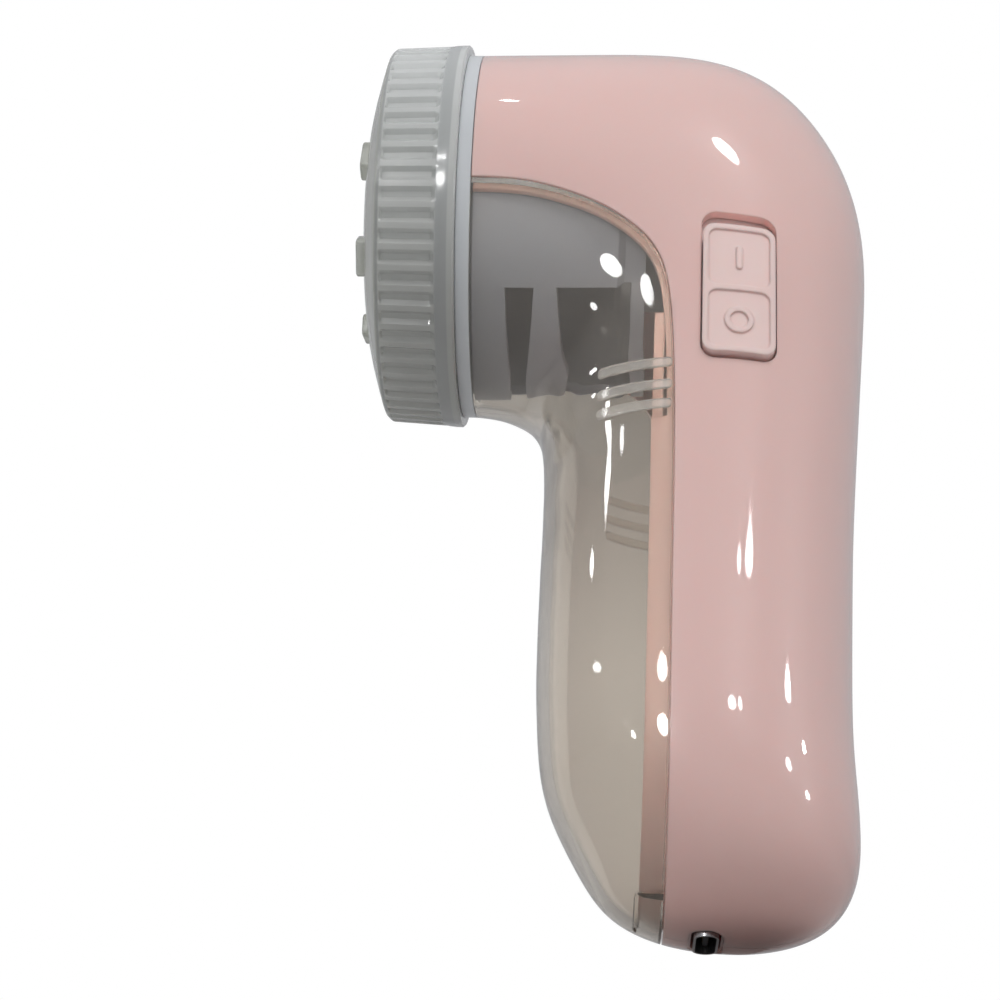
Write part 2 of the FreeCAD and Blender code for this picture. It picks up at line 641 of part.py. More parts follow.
def power_button():
    """Outer pad, slide plate behind the wall, and a fork over the switch lever."""
    under = body_skin(wall + 1.25, cavity_x)
    pad = body_skin(-knob_proud).cut(under)
    pad = pad.common(round_box(knob_x0, knob_x1, -30, -15, knob_z0, knob_z1, 2.0))
    mid_x, mid_z = 0.5 * (knob_x0 + knob_x1), 0.5 * (knob_z0 + knob_z1)
    # two shallow recesses with a rib between, one with a raised bar, one with a ring
    rim, rib, recess = 0.9, 0.42, 0.35
    cuts = fuse([round_box(knob_x0 + rim, knob_x1 - rim, -30, -18, z0, z1, 1.3)
                 for z0, z1 in ((mid_z + rib, knob_z1 - rim), (knob_z0 + rim, mid_z - rib))])
    ring_z = mid_z - 4.9
    marks = fuse([
        round_box(mid_x - 0.45, mid_x + 0.45, -30, -18, mid_z + 3.0, mid_z + 6.6, 0.4),
        rod_y(2.0, -30, -18, mid_x, ring_z).cut(rod_y(1.25, -30, -18, mid_x, ring_z))])
    pad = pad.cut(cuts.cut(marks).cut(body_skin(-knob_proud + recess)))
    plate = body_skin(wall + 0.25, cavity_x).cut(under)
    plate = plate.common(box(knob_x0 - 1.6, knob_x1 + 1.4, -30, -10,
                             knob_z0 - 2.7, knob_z1 + 3.0))
    fork = fuse([box(lever_x0 - 1.4, lever_x1 + 1.4, -21.5, -14.2, switch_z + z0, switch_z + z1)
                 for z0, z1 in ((-3.4, -2.15), (-0.05, 1.2))])
    return main_solid(fuse([pad, plate, fork]))


# ----------------------------------------------------------------- battery
def battery_cell():
    return fuse([rod_z(cell_r, cell_z0, cell_z1 - 1.0, cell_x),
                 rod_z(2.75, cell_z1 - 1.1, cell_z1, cell_x)])


def battery_tabs():
    return Part.makeCompound([box(cell_x - 6.0, cell_x + 2.5, -2.0, 2.0, z0, z0 + 0.2)
                              for z0 in (cell_z1, cell_z0 - 0.2)])


def battery_leads():
    top, bottom, start_x = cell_z1, cell_z0, cell_x - 4.6
    return Part.makeCompound([
        lead([(start_x, -1.0, top + 0.95), (15.2, -1.0, top + 0.95), (13.55, -1.0, top - 1.0)]),
        lead([(start_x, 1.0, bottom - 0.95), (15.8, 4.6, bottom - 1.2),
              (13.45, 5.6, bottom - 1.6)])])


# ------------------------------------------------------- build and export
body = housing_body()
blades = [blade(degrees) for degrees in blade_turns]
blade_screws = [blade_screw(degrees) for degrees in blade_turns]
end_cap = motor_end_cap()
brushes = motor_brushes()

pieces = {
    "housing_left": housing_half(body, -1),
    "housing_right": housing_half(body, 1),
    "housing_screws": Part.makeCompound([housing_screw(x, z) for x, z in screw_places]),
    "lint_bin": lint_bin(),
    "blade_chamber": blade_chamber(),
    "guard_ring": guard_ring(),
    "guard_foil": guard_foil(),
    "protective_cap": protective_cap(),
    "motor_shaft": rod_x(shaft_r, shaft_x0, shaft_x1),
    "drive_coupler": stepped_rod([(2.6, -16.0, -1.0), (4.4, -2.2, 1.6)]).cut(
        rod_x(shaft_r, shaft_x0, 5)),
    "blade_holder": blade_holder(blades, blade_screws),
    "blade_screws": Part.makeCompound(blade_screws),
    "blades": Part.makeCompound([main_solid(b) for b in blades]),
    "coupler_spring": coupler_spring(),
    "armature_core": armature_core(),
    "armature_coils": armature_coils(),
    "commutator": tube_x(2.2, shaft_r, 25.2, 29.4),
    "motor_can": motor_can(),
    "motor_bushings": Part.makeCompound([tube_x(bearing_r, shaft_r + 0.03, x0, x1)
                                         for x0, x1 in ((6.9, 9.6), (30.1, 32.4))]),
    "motor_magnets": motor_magnets(),
    "motor_end_cap": end_cap,
    "motor_brushes": brushes,
    "motor_screws": Part.makeCompound([
        stepped_rod([(1.9, 2.3, 3.85), (0.95, 3.7, 9.6)], s * motor_screw_y) for s in sides]),
    "motor_leads": motor_leads(end_cap, brushes),
    "circuit_board": circuit_board(),
    "board_screws": board_screws(),
    "port_shell": port_shell(),
    "port_tongue": port_tongue(),
    "port_contacts": port_contacts(),
    "charge_chip": charge_chip(),
    "board_inductor": on_board(2.8, 5.0, 10.0, -92.0, -89.2),
    "board_capacitors": Part.makeCompound([on_board(1.2, y, y + 2.0, z, z + 1.25)
                                           for y, z in capacitor_places]),
    "charge_light": charge_light(),
    "switch_body": switch_body(),
    "switch_lever": switch_lever(),
    "power_button": power_button(),
    "battery_cell": battery_cell(),
    "battery_tabs": battery_tabs(),
    "battery_foam": box(31.15, 31.75, -4.0, 4.0, -86.0, -56.0),
    "battery_leads": battery_leads(),
}

for name, shape in pieces.items():
    placed = shape.copy()
    placed.translate(export_shift)
    placed.exportStep("parts/%s.step" % name)
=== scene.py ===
import bpy, bmesh, json, math
import numpy as np
from mathutils import Vector, Matrix


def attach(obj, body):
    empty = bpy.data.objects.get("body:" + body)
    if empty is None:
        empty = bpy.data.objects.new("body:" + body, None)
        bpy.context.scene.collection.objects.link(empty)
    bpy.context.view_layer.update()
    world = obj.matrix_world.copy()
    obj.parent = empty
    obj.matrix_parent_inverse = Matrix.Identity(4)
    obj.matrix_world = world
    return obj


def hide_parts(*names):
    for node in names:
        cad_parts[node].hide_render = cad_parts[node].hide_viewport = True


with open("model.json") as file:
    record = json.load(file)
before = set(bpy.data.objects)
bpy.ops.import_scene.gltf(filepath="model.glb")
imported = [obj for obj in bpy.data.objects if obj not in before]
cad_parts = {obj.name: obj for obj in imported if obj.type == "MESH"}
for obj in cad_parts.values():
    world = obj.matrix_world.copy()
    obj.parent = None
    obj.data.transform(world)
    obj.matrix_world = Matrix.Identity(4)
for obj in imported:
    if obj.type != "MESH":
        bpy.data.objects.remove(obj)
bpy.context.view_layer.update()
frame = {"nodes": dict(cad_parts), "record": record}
nodes = frame["nodes"]

# ----------------------------------------------------------------------------
# The row frame is in metres. Shapes below are written in millimetres on the
# design axes (blade axis at y = 0, z = 0, head toward -X) and moved with R().
# ----------------------------------------------------------------------------
SX, SZ = 0.45, 108.40


def R(p):
    p = np.asarray(p, float)
    return (p + np.array([SX, 0.0, SZ])) / 1000.0


WALL = 1.6
PAIRS = [((-20.4, -27.3), (-20.4, 27.3), 27.3, 2.0),
         ((-17.4, -27.75), (-16.0, 27.5), 27.3, 2.0),
         ((-14.6, -28.9), (-9.0, 27.9), 27.2, 2.0),
         ((-12.5, -30.4), (0.0, 28.35), 26.9, 2.02),
         ((-11.1, -32.4), (9.2, 28.55), 26.5, 2.05),
         ((-10.2, -34.7), (18.0, 27.2), 26.0, 2.08),
         ((-9.75, -37.0), (25.25, 23.15), 25.5, 2.1),
         ((-9.5, -39.2), (30.45, 16.9), 25.0, 2.12),
         ((-9.35, -41.5), (34.05, 9.9), 24.6, 2.15),
         ((-9.25, -44.0), (36.2, 2.2), 24.2, 2.17),
         ((-9.22, -46.6), (36.95, -6.0), 23.9, 2.2),
         ((-9.2, -49.5), (36.65, -15.0), 23.6, 2.2),
         ((-9.2, -52.7), (36.0, -25.0), 23.4, 2.2),
         ((-9.25, -56.3), (35.35, -35.0), 23.2, 2.2),
         ((-9.25, -60.3), (34.75, -44.5), 23.0, 2.2),
         ((-9.25, -64.7), (34.3, -53.5), 22.85, 2.2),
         ((-9.2, -69.2), (34.05, -62.0), 22.75, 2.2),
         ((-9.1, -73.8), (33.85, -70.5), 22.65, 2.2),
         ((-8.85, -78.2), (33.75, -77.2), 22.6, 2.2),
         ((-8.5, -82.6), (33.85, -82.6), 22.5, 2.2),
         ((-7.85, -87.0), (34.15, -87.0), 22.2, 2.2),
         ((-6.6, -91.0), (34.4, -91.0), 21.6, 2.2),
         ((-5.0, -94.4), (34.5, -94.6), 20.7, 2.2),
         ((-3.4, -97.4), (34.4, -97.8), 19.5, 2.2),
         ((-1.9, -100.0), (33.9, -100.6), 18.0, 2.2),
         ((-0.3, -102.35), (32.8, -103.05), 16.1, 2.2),
         ((1.5, -104.2), (31.3, -105.0), 14.0, 2.2),
         ((3.6, -105.6), (29.7, -106.4), 11.9, 2.2),
         ((6.1, -106.75), (27.9, -107.4), 9.9, 2.2),
         ((9.1, -107.65), (26.1, -108.05), 8.0, 2.2),
         ((12.0, -108.3), (24.4, -108.42), 6.2, 2.2), ((15.2, -108.5), (21.5, -108.5), 3.2, 2.2)]
SEAM = [(-26.0, -6.9), (-20.4, -6.9), (-16.35, -7.0), (-11.4, -7.55), (-6.6, -8.75), (-2.35, -10.35), (1.6, -12.7),
        (4.15, -14.9), (5.85, -17.2), (7.15, -20.6), (8.05, -26.2), (8.50, -33.4), (8.70, -40.4), (8.80, -48.0),
        (8.80, -60.0), (8.80, -75.0), (8.80, -90.0), (8.80, -104.0), (8.80, -116.0)]


def spline(t, y, q):
    """Natural cubic spline through (t, y), read at q."""
    t, y = np.asarray(t, float), np.asarray(y, float)
    n = len(t)
    h = np.diff(t)
    A = np.zeros((n, n))
    A[0, 0] = A[-1, -1] = 1.0
    rhs = np.zeros((n,) + y.shape[1:])
    for i in range(1, n - 1):
        A[i, i - 1], A[i, i], A[i, i + 1] = h[i - 1], 2 * (h[i - 1] + h[i]), h[i]
        rhs[i] = 6 * ((y[i + 1] - y[i]) / h[i] - (y[i] - y[i - 1]) / h[i - 1])
    M = np.linalg.solve(A, rhs)
    i = np.clip(np.searchsorted(t, q) - 1, 0, n - 2)
    d = (q - t[i])
    hh = h[i]
    if y.ndim > 1:
        d, hh = d[:, None], hh[:, None]
    a, b = y[i], y[i + 1]
    m0, m1 = M[i], M[i + 1]
    e = hh - d
    return (m0 * e ** 3 + m1 * d ** 3) / (6 * hh) + (a / hh - m0 * hh / 6) * e + (b / hh - m1 * hh / 6) * d


def soften(y, sig):
    """Gaussian fairing of samples along the body, ends kept."""
    k = int(4 * sig)
    w = np.exp(-0.5 * (np.arange(-k, k + 1) / sig) ** 2)
    w /= w.sum()
    lead = 2 * y[0] - y[k:0:-1]
    tail = 2 * y[-1] - y[-2:-k - 2:-1]
    z = np.concatenate([lead, y, tail])
    return np.stack([np.convolve(z[:, c], w, "valid") for c in range(y.shape[1])], 1)


_raw = np.array([[a[0], a[1], b[0], b[1], w, e] for a, b, w, e in PAIRS])
_mid = (_raw[:, 0:2] + _raw[:, 2:4]) / 2
_t = np.concatenate([[0], np.cumsum(np.maximum(np.hypot(*np.diff(_mid, axis=0).T), 0.4))])
NV = 300
NU0 = 192
_q = np.linspace(0, _t[-1], NV)
STN = spline(_t, _raw, _q)
_s = NV / 420.0
STN = np.concatenate([soften(STN[:, :2], 3.0 * _s), soften(STN[:, 2:4], 7.0 * _s), soften(STN[:, 4:], 6.0 * _s)], 1)
STN[0, [0, 2]] = -20.4


def skin_rows(off, NU=NU0, front=-20.4):
    """Rows of points of the body surface moved inward by off millimetres."""
    I, O, w, e = STN[:, :2], STN[:, 2:4], STN[:, 4], STN[:, 5]
    mid = (I + O) / 2

    def normal(C, other):
        t = np.gradient(C, axis=0)
        t /= np.linalg.norm(t, axis=1)[:, None] + 1e-12
        n = np.stack([-t[:, 1], t[:, 0]], 1)
        s = np.sign((n * (other - C)).sum(1))
        s[s == 0] = 1
        return n * s[:, None]
    nI, nO = normal(I, O), normal(O, I)
    ds = np.linalg.norm(np.gradient(mid, axis=0), axis=1)
    dw = np.gradient(w)
    w2 = w - off * ds / np.hypot(ds, dw)
    I2, O2 = I + off * nI, O + off * nO
    I2[0, 0] = O2[0, 0] = front
    th = np.linspace(0, 2 * math.pi, NU, endpoint=False)
    c, s = np.cos(th), np.sin(th)
    rows = []
    for k in range(NV):
        p = 2.0 / e[k]
        cc = np.sign(c) * np.abs(c) ** p
        ss = np.sign(s) * np.abs(s) ** p
        M, H = (I2[k] + O2[k]) / 2, (O2[k] - I2[k]) / 2
        rows.append(np.stack([M[0] + H[0] * cc, w2[k] * ss, M[1] + H[1] * cc], 1))
    return rows


def mesh_from(name, verts, faces, scale=True):
    me = bpy.data.meshes.new(name)
    v = R(verts) if scale else np.asarray(verts)
    me.from_pydata([tuple(x) for x in v], [], faces)
    me.update()
    bm = bmesh.new()
    bm.from_mesh(me)
    bmesh.ops.recalc_face_normals(bm, faces=bm.faces)
    if bm.calc_volume(signed=True) < 0:
        bmesh.ops.reverse_faces(bm, faces=bm.faces)
    bm.to_mesh(me)
    bm.free()
    o = bpy.data.objects.new(name, me)
    bpy.context.scene.collection.objects.link(o)
    return o


def rows_to_obj(name, rows):
    NU = len(rows[0])
    verts = np.concatenate(rows)
    faces = []
    for r in range(len(rows) - 1):
        a = r * NU
        for i in range(NU):
            j = (i + 1) % NU
            faces.append((a + i, a + j, a + NU + j, a + NU + i))
    n = len(verts)
    verts = np.concatenate([verts, rows[0].mean(0)[None], rows[-1].mean(0)[None]])
    b = (len(rows) - 1) * NU
    for i in range(NU):
        j = (i + 1) % NU
        faces.append((n, j, i))
        faces.append((n + 1, b + i, b + j))
    return mesh_from(name, verts, faces)


def skin(name, off, front=-20.4, NU=NU0):
    return rows_to_obj(name, skin_rows(off, NU, front))


def prism(name, poly, y0, y1):
    """Polygon (x, z) extruded along Y, caps made of triangles."""
    n = len(poly)
    v = [(p[0], y0, p[1]) for p in poly] + [(p[0], y1, p[1]) for p in poly]
    f = [(i, (i + 1) % n, n + (i + 1) % n, n + i) for i in range(n)]
    f += [tuple(range(n - 1, -1, -1)), tuple(range(n, 2 * n))]
    return mesh_from(name, np.array(v, float), f)


def seam_line(off):
    S = np.array(SEAM, float)
    t = np.concatenate([[0], np.cumsum(np.hypot(*np.diff(S, axis=0).T))])
    q = np.linspace(0, t[-1], 260)
    P = spline(t, S, q)
    d = np.gradient(P, axis=0)
    d /= np.linalg.norm(d, axis=1)[:, None]
    n = np.stack([-d[:, 1], d[:, 0]], 1)
    return P + off * n


def seam_block(name, off, side):
    P = [tuple(p) for p in seam_line(off)]
    if side > 0:
        P += [(70, P[-1][1]), (70, 60), (P[0][0], 60)]
    else:
        P += [(P[0][0], P[-1][1])]
    return prism(name, P, -45, 45)


def box(name, x0, x1, y0, y1, z0, z1):
    v = [(x, y, z) for x in (x0, x1) for y in (y0, y1) for z in (z0, z1)]
    f = [(0, 1, 3, 2), (4, 6, 7, 5), (0, 4, 5, 1), (2, 3, 7, 6), (0, 2, 6, 4), (1, 5, 7, 3)]
    return mesh_from(name, np.array(v, float), f)


def rrect(x0, x1, z0, z1, r, n=10):
    pts = []
    for cx, cz, a0 in ((x1 - r, z1 - r, 0), (x0 + r, z1 - r, 90), (x0 + r, z0 + r, 180), (x1 - r, z0 + r, 270)):
        for k in range(n + 1):
            a = math.radians(a0 + 90.0 * k / n)
            pts.append((cx + r * math.cos(a), cz + r * math.sin(a)))
    return pts


def rounded_y(name, x0, x1, z0, z1, y0, y1, r):
    return prism(name, rrect(x0, x1, z0, z1, r), y0, y1)


def lathe_x(name, prof, n=96, y=0.0, z=0.0, closed=True):
    """Closed (x, r) profile turned about a line parallel to X."""
    prof = [tuple(p) for p in prof]
    m = len(prof)
    th = np.linspace(0, 2 * math.pi, n, endpoint=False)
    v = [(x, y + r * math.cos(a), z + r * math.sin(a)) for x, r in prof for a in th]
    f = []
    for k in range(m if closed else m - 1):
        a, b = k * n, ((k + 1) % m) * n
        for i in range(n):
            j = (i + 1) % n
            f.append((a + i, a + j, b + j, b + i))
    return mesh_from(name, np.array(v, float), f)


def cyl(name, axis, r, a0, a1, p, q, n=48):
    th = np.linspace(0, 2 * math.pi, n, endpoint=False)
    v = []
    for a in (a0, a1):
        for t in th:
            c, s = r * math.cos(t), r * math.sin(t)
            v.append({"x": (a, p + c, q + s), "y": (p + c, a, q + s), "z": (p + c, q + s, a)}[axis])
    f = [(i, (i + 1) % n, n + (i + 1) % n, n + i) for i in range(n)]
    f += [tuple(range(n - 1, -1, -1)), tuple(range(n, 2 * n))]
    return mesh_from(name, np.array(v, float), f)


def boolean(a, b, op, keep_b=False, solver="MANIFOLD"):
    m = a.modifiers.new("b", "BOOLEAN")
    m.operation = op
    m.object = b
    m.solver = solver
    dg = bpy.context.evaluated_depsgraph_get()
    me = bpy.data.meshes.new_from_object(a.evaluated_get(dg))
    a.modifiers.clear()
    old = a.data
    a.data = me
    bpy.data.meshes.remove(old)
    if not keep_b:
        drop(b)
    return a


def drop(o):
    me = o.data
    bpy.data.objects.remove(o)
    bpy.data.meshes.remove(me)


def copy(o, name):
    c = o.copy()
    c.data = o.data.copy()
    c.name = name
    bpy.context.scene.collection.objects.link(c)
    return c


def cut(a, b, keep=False):
    return boolean(a, b, "DIFFERENCE", keep)


def common(a, b, keep=False):
    return boolean(a, b, "INTERSECT", keep)


def join(a, b, keep=False):
    return boolean(a, b, "UNION", keep)


def smooth(o, deg=32.0):
    me = o.data
    me.polygons.foreach_set("use_smooth", [True] * len(me.polygons))
    me.set_sharp_from_angle(angle=math.radians(deg))
    me.update()


def tidy(o, d=2e-6):
    """Merge sliver points the cuts leave behind."""
    bm = bmesh.new()
    bm.from_mesh(o.data)
    bmesh.ops.remove_doubles(bm, verts=bm.verts, dist=d)
    bmesh.ops.dissolve_degenerate(bm, edges=bm.edges, dist=d)
    bm.to_mesh(o.data)
    bm.free()


# ------------------------------------------------------------------ materials
def mat(name, build):
    m = bpy.data.materials.new(name)
    m.use_nodes = True
    nt = m.node_tree
    nt.nodes.clear()
    out = nt.nodes.new("ShaderNodeOutputMaterial")
    out.location = (800, 0)
    N = Nodes(nt)
    sh = build(N)
    nt.links.new(sh, out.inputs["Surface"])
    return m


class Nodes:
    def __init__(self, nt):
        self.nt = nt

    def new(self, kind, **kw):
        n = self.nt.nodes.new(kind)
        for k, v in kw.items():
            if k.startswith("_"):
                setattr(n, k[1:], v)
        for k, v in kw.items():
            if not k.startswith("_"):
                self.set(n, k.replace("__", " "), v)
        return n

    def set(self, n, key, v):
        s = n.inputs[key] if not isinstance(key, int) else n.inputs[key]
        if isinstance(v, bpy.types.NodeSocket):
            self.nt.links.new(v, s)
        else:
            s.default_value = v

    def coords(self, scale=1.0):
        g = self.new("ShaderNodeTexCoord")
        m = self.nt.nodes.new("ShaderNodeVectorMath")
        m.operation = "SCALE"
        self.nt.links.new(g.outputs["Object"], m.inputs[0])
        m.inputs["Scale"].default_value = scale
        return m.outputs[0]

    def noise(self, scale, detail=3.0, rough=0.5, vec=None):
        n = self.nt.nodes.new("ShaderNodeTexNoise")
        n.inputs["Scale"].default_value = scale
        n.inputs["Detail"].default_value = detail
        n.inputs["Roughness"].default_value = rough
        self.nt.links.new(vec if vec is not None else self.coords(), n.inputs["Vector"])
        return n.outputs["Fac"]

    def remap(self, fac, lo, hi, a=0.3, b=0.7):
        n = self.nt.nodes.new("ShaderNodeMapRange")
        self.nt.links.new(fac, n.inputs["Value"])
        n.inputs["From Min"].default_value = a
        n.inputs["From Max"].default_value = b
        n.inputs["To Min"].default_value = lo
        n.inputs["To Max"].default_value = hi
        return n.outputs["Result"]

    def mixcol(self, fac, a, b):
        n = self.nt.nodes.new("ShaderNodeMix")
        n.data_type = "RGBA"
        self.nt.links.new(fac, n.inputs["Factor"])
        for s, v in (("A", a), ("B", b)):
            for i in n.inputs:
                if i.name == s and i.type == "RGBA":
                    if isinstance(v, bpy.types.NodeSocket):
                        self.nt.links.new(v, i)
                    else:
                        i.default_value = (*v, 1.0)
        return [o for o in n.outputs if o.type == "RGBA"][0]

    def math(self, op, a, b):
        n = self.nt.nodes.new("ShaderNodeMath")
        n.operation = op
        for i, v in enumerate((a, b)):
            if isinstance(v, bpy.types.NodeSocket):
                self.nt.links.new(v, n.inputs[i])
            else:
                n.inputs[i].default_value = v
        return n.outputs[0]

    def bump(self, height, strength, dist, normal=None):
        n = self.nt.nodes.new("ShaderNodeBump")
        n.inputs["Strength"].default_value = strength
        n.inputs["Distance"].default_value = dist
        self.nt.links.new(height, n.inputs["Height"])
        if normal is not None:
            self.nt.links.new(normal, n.inputs["Normal"])
        return n.outputs["Normal"]

    def soft_edges(self, r):
        n = self.nt.nodes.new("ShaderNodeBevel")
        n.samples = 4
        n.inputs["Radius"].default_value = r
        return n.outputs["Normal"]


def srgb(r, g, b):
    f = lambda c: (c / 255.0) / 12.92 if c / 255.0 <= 0.04045 else (((c / 255.0) + 0.055) / 1.055) ** 2.4
    return (f(r), f(g), f(b))


def plastic(name, col, col2=None, rough=(0.25, 0.32), coat=0.0, sss=0.0, bump=0.02, grain=900.0, edge=0.0, spec=0.5,
            coat_rough=0.06, sss_r=(1.0, 0.5, 0.4), sss_scale=0.002, inner=None):
    def b(N):
        big = N.noise(38.0, 4.0, 0.55)
        fine = N.noise(grain, 3.0, 0.6)
        c2 = col2 or tuple(min(1.0, c * 0.93) for c in col)
        color = N.mixcol(N.remap(big, 0.0, 1.0, 0.25, 0.75), col, c2)
        if inner:                      # painted shade: darker colour on the lip and partition behind the clear bin, fading towards the top, standing in for the shade there
            sp = N.nt.nodes.new("ShaderNodeSeparateXYZ")
            N.nt.links.new(N.coords(), sp.inputs[0])
            f = N.math("MULTIPLY", N.remap(sp.outputs["X"], 1.0, 0.0, 0.0089, 0.0093),
                       N.remap(sp.outputs["Z"], 1.0, 0.25, 0.062, 0.075))
            f = N.math("MULTIPLY", f, N.remap(sp.outputs["Z"], 1.0, 0.0, 0.082, 0.084))
            color = N.mixcol(f, color, inner)
        nrm = N.soft_edges(edge) if edge else None
        nrm = N.bump(fine, bump, 0.0002, nrm)
        p = N.new("ShaderNodeBsdfPrincipled")
        N.set(p, "Base Color", color)
        N.set(p, "Roughness", N.remap(N.noise(140.0, 5.0, 0.6), rough[0], rough[1]))
        N.set(p, "Normal", nrm)
        N.set(p, "Specular IOR Level", spec)
        p.inputs["Coat Weight"].default_value = coat
        p.inputs["Coat Roughness"].default_value = coat_rough
        if sss:
            p.inputs["Subsurface Weight"].default_value = sss
            p.inputs["Subsurface Radius"].default_value = sss_r
            p.inputs["Subsurface Scale"].default_value = sss_scale
        return p.outputs[0]
    return mat(name, b)


def metal(name, col, rough=(0.22, 0.38), aniso=0.0, stretch=(1, 1, 1), bump=0.05, grain=600.0):
    def b(N):
        g = N.new("ShaderNodeTexCoord")
        m = N.nt.nodes.new("ShaderNodeVectorMath")
        m.operation = "MULTIPLY"
        N.nt.links.new(g.outputs["Object"], m.inputs[0])
        m.inputs[1].default_value = stretch
        fine = N.noise(grain, 4.0, 0.65, m.outputs[0])
        big = N.noise(90.0, 4.0, 0.6)
        p = N.new("ShaderNodeBsdfPrincipled")
        N.set(p, "Base Color", N.mixcol(N.remap(big, 0, 1), col, tuple(c * 0.82 for c in col)))
        N.set(p, "Metallic", 1.0)
        N.set(p, "Roughness", N.remap(fine, rough[0], rough[1]))
        N.set(p, "Anisotropic", aniso)
        N.set(p, "Normal", N.bump(fine, bump, 0.0001))
        return p.outputs[0]
    return mat(name, b)


def clear(name, col, rough=0.04, milk=0.0, milk_col=(0.8, 0.8, 0.8), ior=1.46, sss=0.0, edge=0.0, bump=0.05, grain=70.0,
          shade=0.93):
    """Clear moulded plastic; milk adds a cloudy share."""
    def b(N):
        nrm = N.soft_edges(edge) if edge else None
        nrm = N.bump(N.noise(grain, 2.0, 0.5), bump, 0.0004, nrm)
        p = N.new("ShaderNodeBsdfPrincipled")
        N.set(p, "Base Color", (*col, 1.0))
        N.set(p, "Roughness", N.remap(N.noise(160.0, 4.0, 0.6), rough, rough * 1.8 + 0.01))
        N.set(p, "IOR", ior)
        N.set(p, "Transmission Weight", 1.0)
        N.set(p, "Normal", nrm)
        # thin parts let light straight through in shadow rays, so the inside stays lit
        tr = N.new("ShaderNodeBsdfTransparent")
        N.set(tr, "Color", (*[min(1.0, c * shade) for c in col], 1.0))
        lp = N.new("ShaderNodeLightPath")
        mx = N.new("ShaderNodeMixShader")
        N.nt.links.new(lp.outputs["Is Shadow Ray"], mx.inputs[0])
        N.nt.links.new(p.outputs[0], mx.inputs[1])
        N.nt.links.new(tr.outputs[0], mx.inputs[2])
        if milk <= 0:
            return mx.outputs[0]
        d = N.new("ShaderNodeBsdfPrincipled")
        N.set(d, "Base Color", (*milk_col, 1.0))
        N.set(d, "Roughness", 0.35)
        N.set(d, "Normal", nrm)
        d.inputs["Subsurface Weight"].default_value = sss
        d.inputs["Subsurface Radius"].default_value = (1.0, 1.0, 1.0)
        d.inputs["Subsurface Scale"].default_value = 0.004
        m2 = N.new("ShaderNodeMixShader")
        N.nt.links.new(N.remap(N.noise(60.0, 3.0, 0.5), milk * 0.92, min(1.0, milk * 1.08)), m2.inputs[0])
        N.nt.links.new(mx.outputs[0], m2.inputs[1])
        N.nt.links.new(d.outputs[0], m2.inputs[2])
        return m2.outputs[0]
    return mat(name, b)


def cap_plastic():
    """Milky moulded cap: cloudy side wall with painted light, lighter at the top and darker at the bottom, a painted
    shade band near the flange, lighter front, thin painted shade line at the corner.
    """
    def b(N):
        tc = N.new("ShaderNodeTexCoord")
        sp = N.new("ShaderNodeSeparateXYZ")
        N.nt.links.new(tc.outputs["Object"], sp.inputs[0])
        front = N.remap(sp.outputs["X"], 1.0, 0.0, -0.03345, -0.03315)
        # painted shade: a thin darker line along the corner between the front dome and the ribbed side
        l1 = N.remap(sp.outputs["X"], 0.0, 1.0, -0.03345, -0.03320)
        l2 = N.remap(sp.outputs["X"], 1.0, 0.0, -0.03300, -0.03280)
        line = N.math("MULTIPLY", l1, l2)
        # painted light: the side wall colour runs from darker at the bottom to lighter at the top, standing in for how
        # the light falls
        side = N.mixcol(N.remap(sp.outputs["Z"], 0.0, 1.0, 0.085, 0.132), srgb(200, 201, 198), srgb(248, 251, 252))
        # painted shade: a darker band on the side wall near the flange, standing in for the shade of the parts inside
        # showing through
        painted_shade_band = N.math("MULTIPLY", N.remap(sp.outputs["X"], 0.0, 1.0, -0.0250, -0.0247), N.remap(sp.outputs["X"], 1.0, 0.0, -0.0232, -0.0230))
        side = N.mixcol(N.math("MULTIPLY", painted_shade_band, 0.5), side, srgb(160, 164, 167))
        cloudy = N.mixcol(front, side, srgb(236, 237, 226))
        # the painted shade line at the corner is mixed into the cloudy colour here
        cloudy = N.mixcol(N.math("MULTIPLY", line, 0.55), cloudy, srgb(120, 124, 124))
        cloudy = N.mixcol(N.remap(N.noise(55.0, 4.0, 0.6), 0.0, 0.35), cloudy, srgb(205, 209, 207))
        nrm = N.bump(N.noise(300.0, 3.0, 0.6), 0.02, 0.0002)
        p = N.new("ShaderNodeBsdfPrincipled")
        N.set(p, "Base Color", (*srgb(248, 250, 248), 1.0))
        N.set(p, "Roughness", N.remap(N.noise(160.0, 4.0, 0.6), 0.10, 0.18))
        N.set(p, "IOR", 1.46)
        N.set(p, "Transmission Weight", 1.0)
        N.set(p, "Normal", nrm)
        tr = N.new("ShaderNodeBsdfTransparent")
        N.set(tr, "Color", (0.82, 0.83, 0.82, 1.0))
        lp = N.new("ShaderNodeLightPath")
        mx = N.new("ShaderNodeMixShader")
        N.nt.links.new(lp.outputs["Is Shadow Ray"], mx.inputs[0])
        N.nt.links.new(p.outputs[0], mx.inputs[1])
        N.nt.links.new(tr.outputs[0], mx.inputs[2])
        d = N.new("ShaderNodeBsdfPrincipled")
        # the cloudy colour carries the milky tint together with the painted light and painted shade mixed in above
        N.set(d, "Base Color", cloudy)
        N.set(d, "Roughness", 0.22)
        N.set(d, "Normal", nrm)
        d.inputs["Coat Weight"].default_value = 0.5
        d.inputs["Coat Roughness"].default_value = 0.04
        d.inputs["Subsurface Weight"].default_value = 0.5
        d.inputs["Subsurface Radius"].default_value = (1.0, 1.0, 1.0)
        d.inputs["Subsurface Scale"].default_value = 0.002
        m2 = N.new("ShaderNodeMixShader")
        N.nt.links.new(N.remap(front, 0.70, 0.45, 0.0, 1.0), m2.inputs[0])
        N.nt.links.new(mx.outputs[0], m2.inputs[1])
        N.nt.links.new(d.outputs[0], m2.inputs[2])
        return m2.outputs[0]
    return mat("milky_clear", b)


